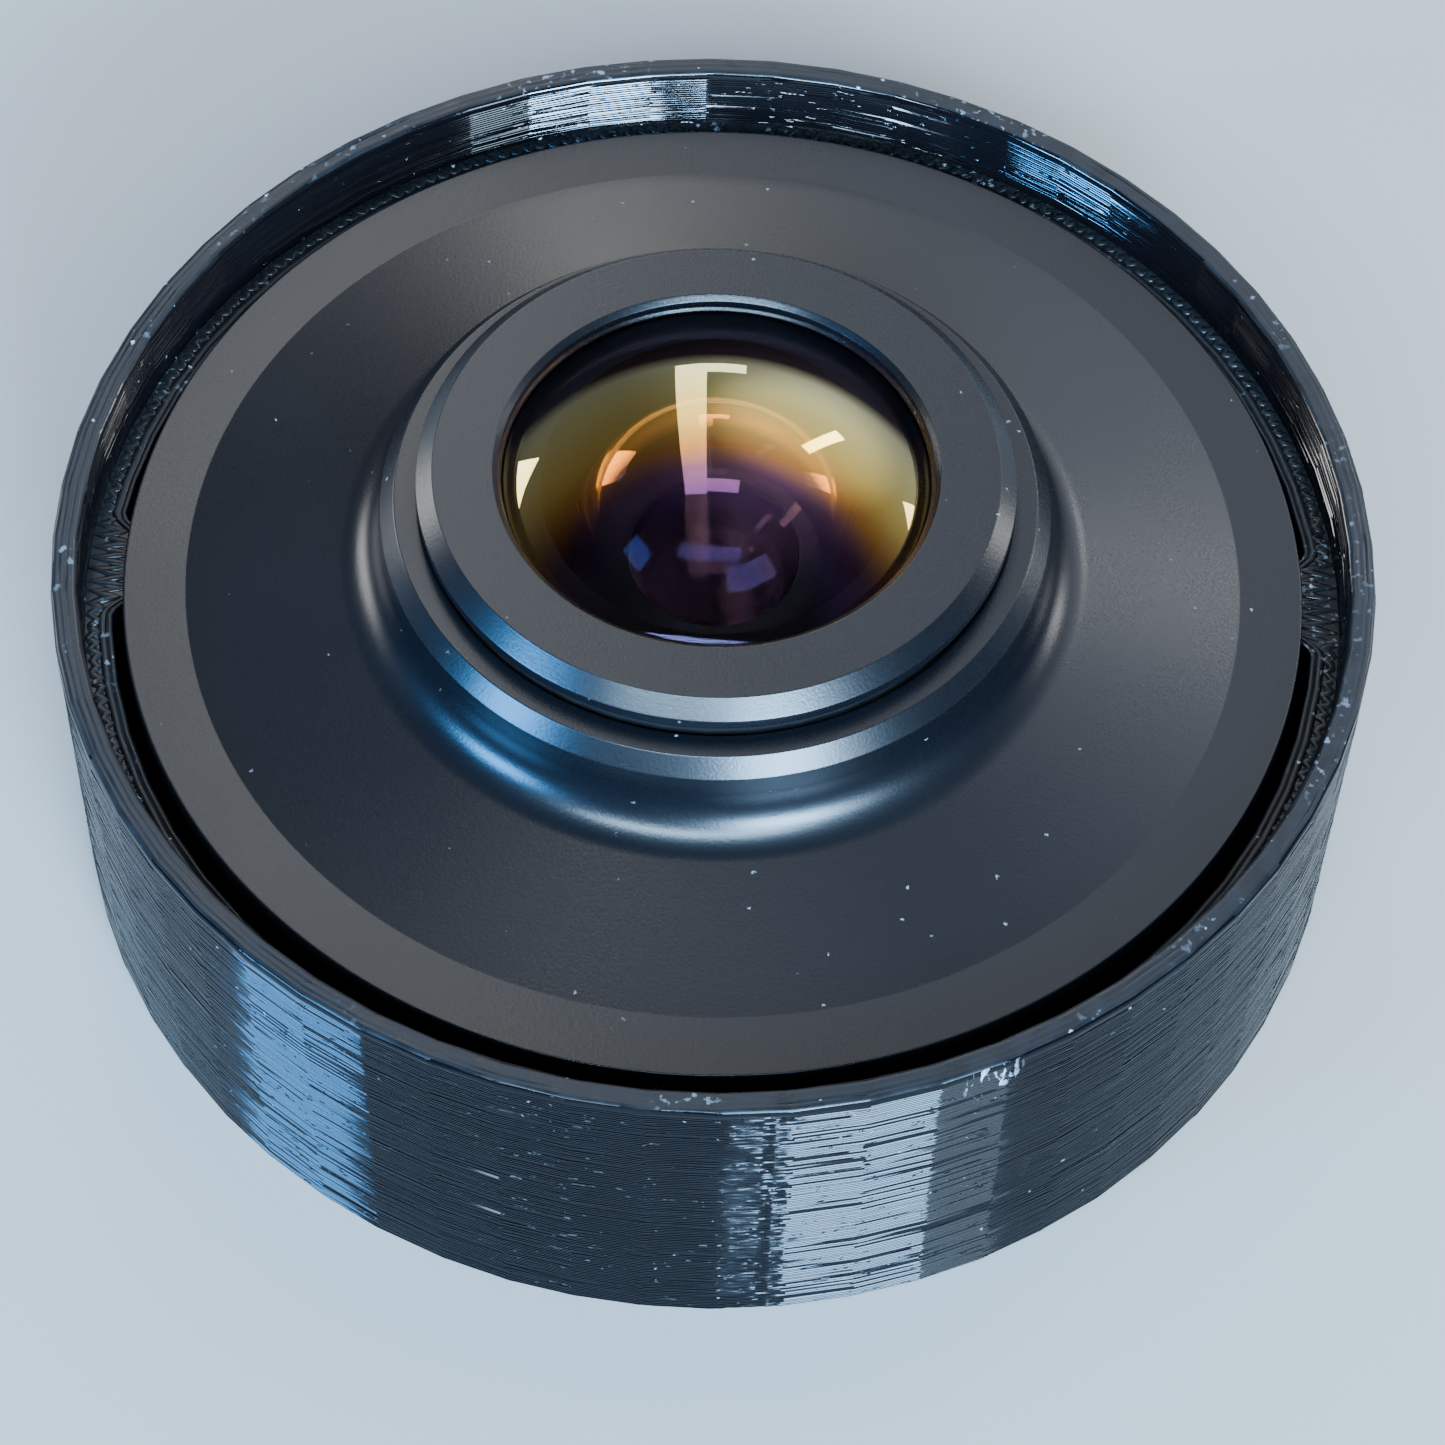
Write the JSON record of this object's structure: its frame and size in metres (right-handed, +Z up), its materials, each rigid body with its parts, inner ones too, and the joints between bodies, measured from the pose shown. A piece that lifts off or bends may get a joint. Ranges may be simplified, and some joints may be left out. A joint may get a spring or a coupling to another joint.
{
  "type": "lens unit in stand cup",
  "caption": "Coated dome lens in a wide black flanged housing with a focusing cell, resting face up in a round printed stand cup.",
  "frame": {"origin": "centre of the cup's underside, on the surface that it stands on", "axes": "+Z up along the common axis of the cup and the lens, out of the front lens; the cup's ribs stand on the X and Y axes"},
  "size_m": [0.08, 0.08, 0.034],
  "materials": {
    "printed_plastic": "satin",
    "anodised_aluminium": "satin",
    "inner_aluminium": "matte",
    "coated_glass": "polished",
    "inner_glass": "polished",
    "seal_rubber": "matte",
    "grip_rubber": "matte",
    "steel": "satin",
    "washer_plastic": "satin"
  },
  "bodies": {
    "cup": {"printed_cup": "printed_plastic"},
    "housing": {"front_housing": "anodised_aluminium", "hub_seal_ring": "seal_rubber", "rear_barrel": "inner_aluminium", "barrel_seal_ring": "seal_rubber", "barrel_screw_1": "steel", "barrel_screw_2": "steel", "barrel_screw_3": "steel", "barrel_screw_4": "steel", "focus_thrust_washer": "washer_plastic", "focus_ring_retainer": "inner_aluminium", "retainer_grub_screw": "steel"},
    "focus": {"focus_ring": "inner_aluminium", "focus_grip": "grip_rubber"},
    "cell": {"lens_barrel": "inner_aluminium", "guide_pin_1": "steel", "guide_pin_2": "steel", "guide_pin_3": "steel", "front_bezel_ring": "anodised_aluminium", "front_lens": "coated_glass", "front_seal_ring": "seal_rubber", "second_lens": "inner_glass", "aperture_stop": "inner_aluminium", "front_spacer": "inner_aluminium", "third_lens": "inner_glass", "rear_spacer": "inner_aluminium", "rear_lens": "inner_glass", "rear_retaining_ring": "inner_aluminium"}
  },
  "joints": [
    {"name": "unit_lift", "type": "slide", "parent": "cup", "child": "housing", "axis": [0, 0, 1], "range_m": [0, 0.03]},
    {"name": "focus_turn", "type": "hinge", "parent": "housing", "child": "focus", "pos_m": [0, 0, 0.0103], "axis": [0, 0, 1], "range_deg": [0, 90]},
    {"name": "cell_travel", "type": "slide", "parent": "housing", "child": "cell", "axis": [0, 0, 1], "range_m": [0, 0.002]}
  ],
  "couplings": [
    {"joint": "cell_travel", "follows": "focus_turn", "m_per_rad": 0.0012732}
  ]
}
